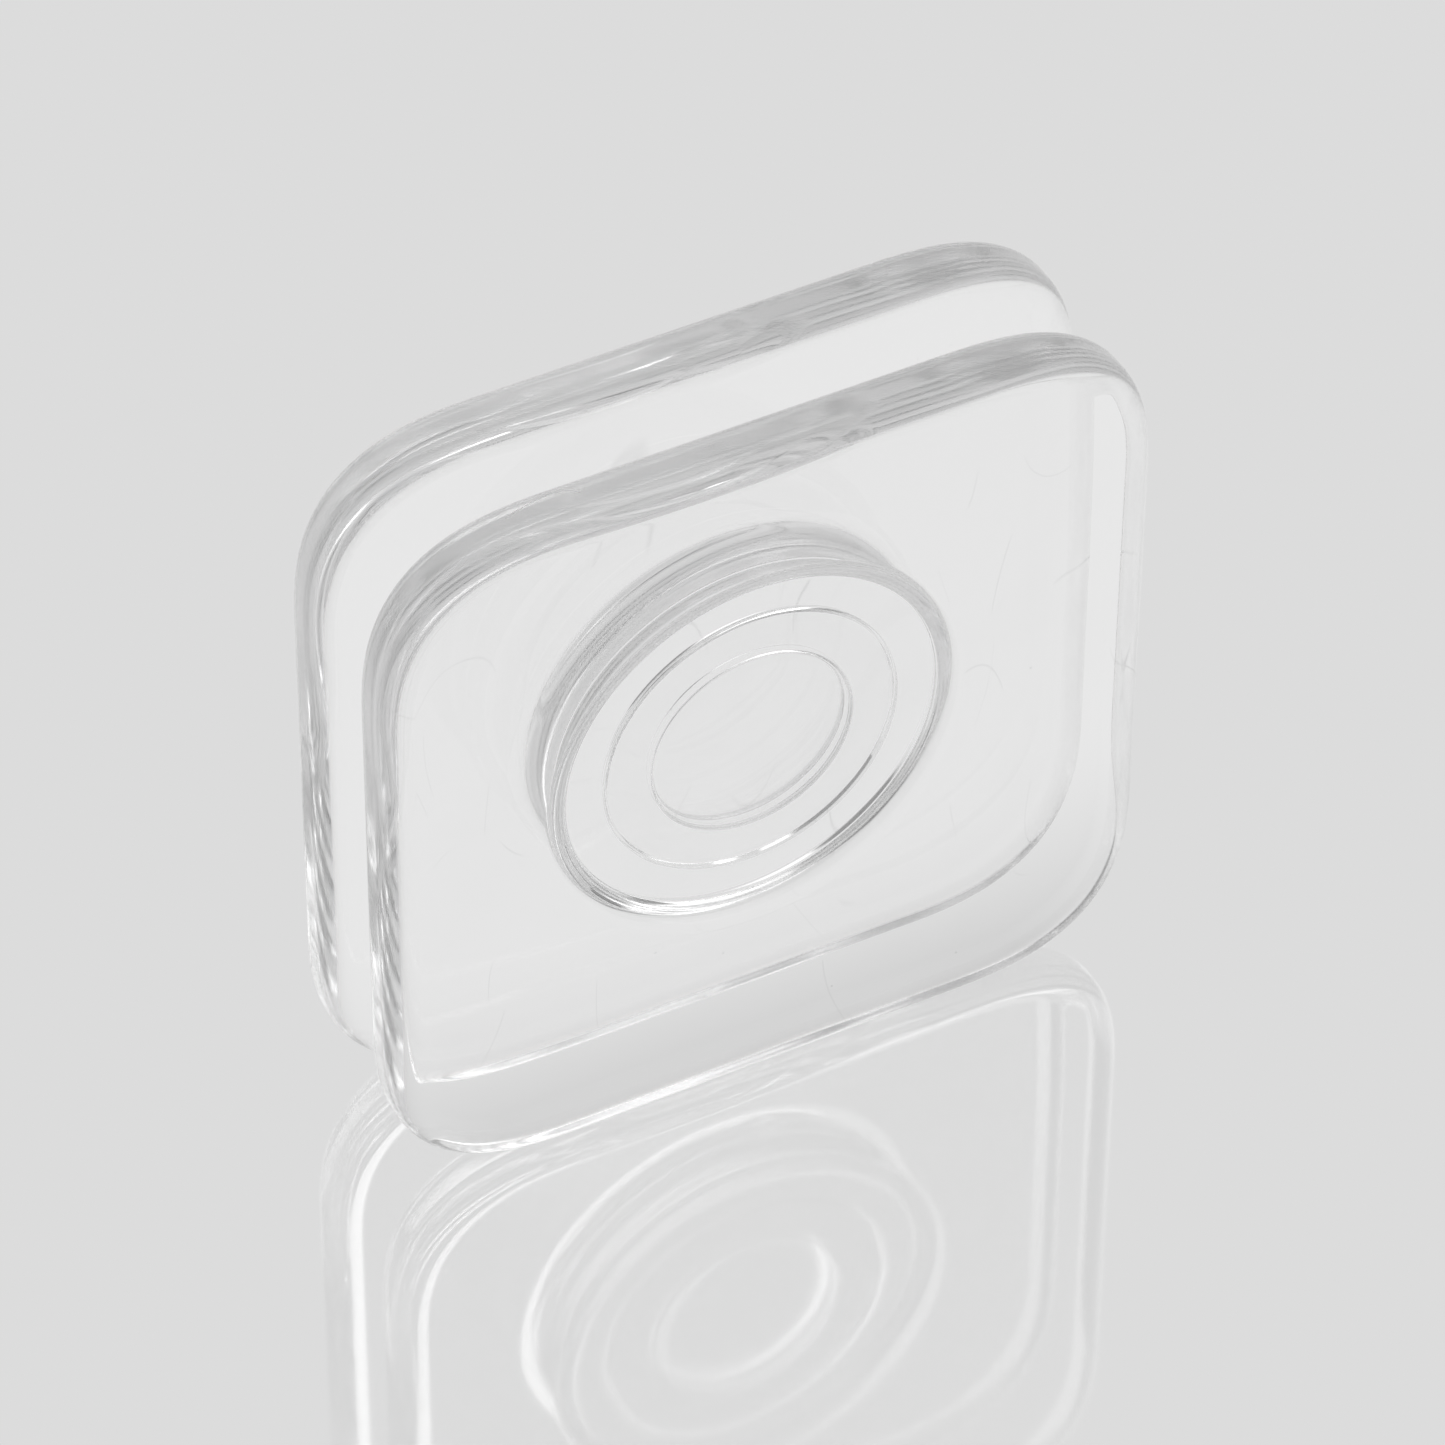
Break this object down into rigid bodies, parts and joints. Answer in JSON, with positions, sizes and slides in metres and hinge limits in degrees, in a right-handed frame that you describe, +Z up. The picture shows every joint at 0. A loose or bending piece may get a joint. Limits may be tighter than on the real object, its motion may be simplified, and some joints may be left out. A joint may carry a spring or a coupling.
{
  "type": "contact lens case",
  "caption": "Clear flat lens case: two square plates on a round waisted hub that parts in the middle. Each half has a shallow lens dish, closed by a clear disc between them.",
  "frame": {"origin": "middle of the base: centred between the plates, on the surface the case stands on", "axes": "+Z up, +Y along the hub axis from the front plate to the rear plate, +X to the right seen from the front"},
  "size_m": [0.056, 0.015, 0.056],
  "materials": {
    "clear_plastic": "clear, polished",
    "clear_silicone": "clear, soft"
  },
  "bodies": {
    "rear": {"rear_half": "clear_plastic"},
    "divider": {"divider_disc": "clear_silicone"},
    "front": {"front_half": "clear_plastic"}
  },
  "joints": [
    {"name": "divider_lift", "type": "slide", "parent": "rear", "child": "divider", "axis": [0, -1, 0], "range_m": [0, 0.012]},
    {"name": "front_pull", "type": "slide", "parent": "divider", "child": "front", "axis": [0, -1, 0], "range_m": [0, 0.012]}
  ]
}
